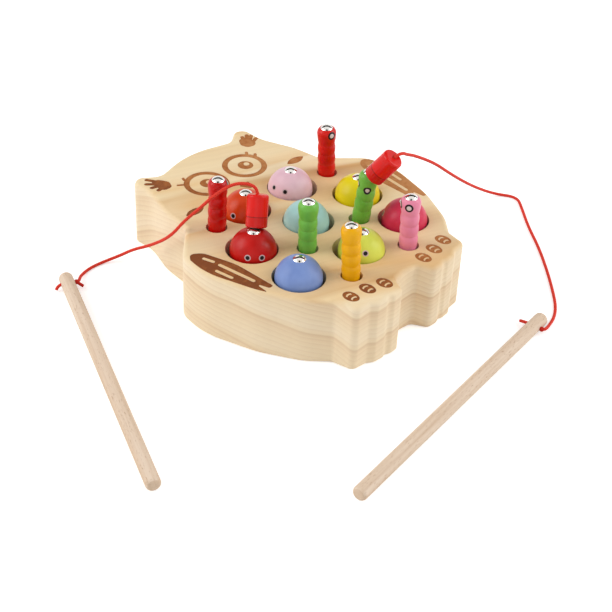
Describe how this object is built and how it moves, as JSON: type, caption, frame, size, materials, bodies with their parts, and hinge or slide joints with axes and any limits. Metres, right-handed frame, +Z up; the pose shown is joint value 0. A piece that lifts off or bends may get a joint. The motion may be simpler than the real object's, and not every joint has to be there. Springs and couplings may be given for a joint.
{
  "type": "wooden magnetic fishing toy",
  "caption": "Owl-shaped wooden block holding painted domed birds and ringed worms, caught by their steel tacks with magnets on cords from wooden rods.",
  "frame": {"origin": "centre of the owl block's outline on its flat underside", "axes": "+Z up, +Y towards the owl's head, +X across the owl"},
  "size_m": [0.3809, 0.2727, 0.0985],
  "materials": {
    "pine": "smooth sanded pine with burnt brown marks",
    "bird_pink_paint": "wood with matt satin pink paint",
    "bird_orange_paint": "wood with matt satin orange paint",
    "bird_red_paint": "wood with matt satin red paint",
    "bird_cyan_paint": "wood with matt satin cyan paint",
    "bird_yellow_paint": "wood with matt satin yellow paint",
    "bird_blue_paint": "wood with matt satin blue paint",
    "bird_lime_paint": "wood with matt satin lime paint",
    "bird_crimson_paint": "wood with matt satin crimson paint",
    "worm_red_paint": "wood with satin red paint",
    "worm_green_paint": "wood with satin green paint",
    "worm_yellow_paint": "wood with satin yellow paint",
    "worm_pink_paint": "wood with satin pink paint",
    "tack_steel": "polished plated steel",
    "beech": "smooth bare beech",
    "red_cord": "fine knitted red cord",
    "red_plastic": "glossy moulded red plastic",
    "magnet_grey": "dark grey sintered magnet"
  },
  "bodies": {
    "root": {"board": "pine", "bird_pink": "bird_pink_paint", "bird_orange": "bird_orange_paint", "bird_red": "bird_red_paint", "bird_cyan": "bird_cyan_paint", "bird_yellow": "bird_yellow_paint", "bird_blue": "bird_blue_paint", "bird_lime": "bird_lime_paint", "bird_crimson": "bird_crimson_paint", "worm_red_left": "worm_red_paint", "worm_red_back": "worm_red_paint", "worm_green_upright": "worm_green_paint", "worm_green_leaning": "worm_green_paint", "worm_yellow": "worm_yellow_paint", "worm_pink": "worm_pink_paint", "bird_tacks": "tack_steel", "worm_tacks": "tack_steel", "rod_left": "beech", "cord_left": "red_cord", "rod_knot_left": "red_cord", "inner_knot_left": "red_cord", "capsule_cap_left": "red_plastic", "capsule_base_left": "red_plastic", "magnet_left": "magnet_grey", "rod_right": "beech", "cord_right": "red_cord", "rod_knot_right": "red_cord", "inner_knot_right": "red_cord", "capsule_cap_right": "red_plastic", "capsule_base_right": "red_plastic", "magnet_right": "magnet_grey"}
  },
  "joints": []
}
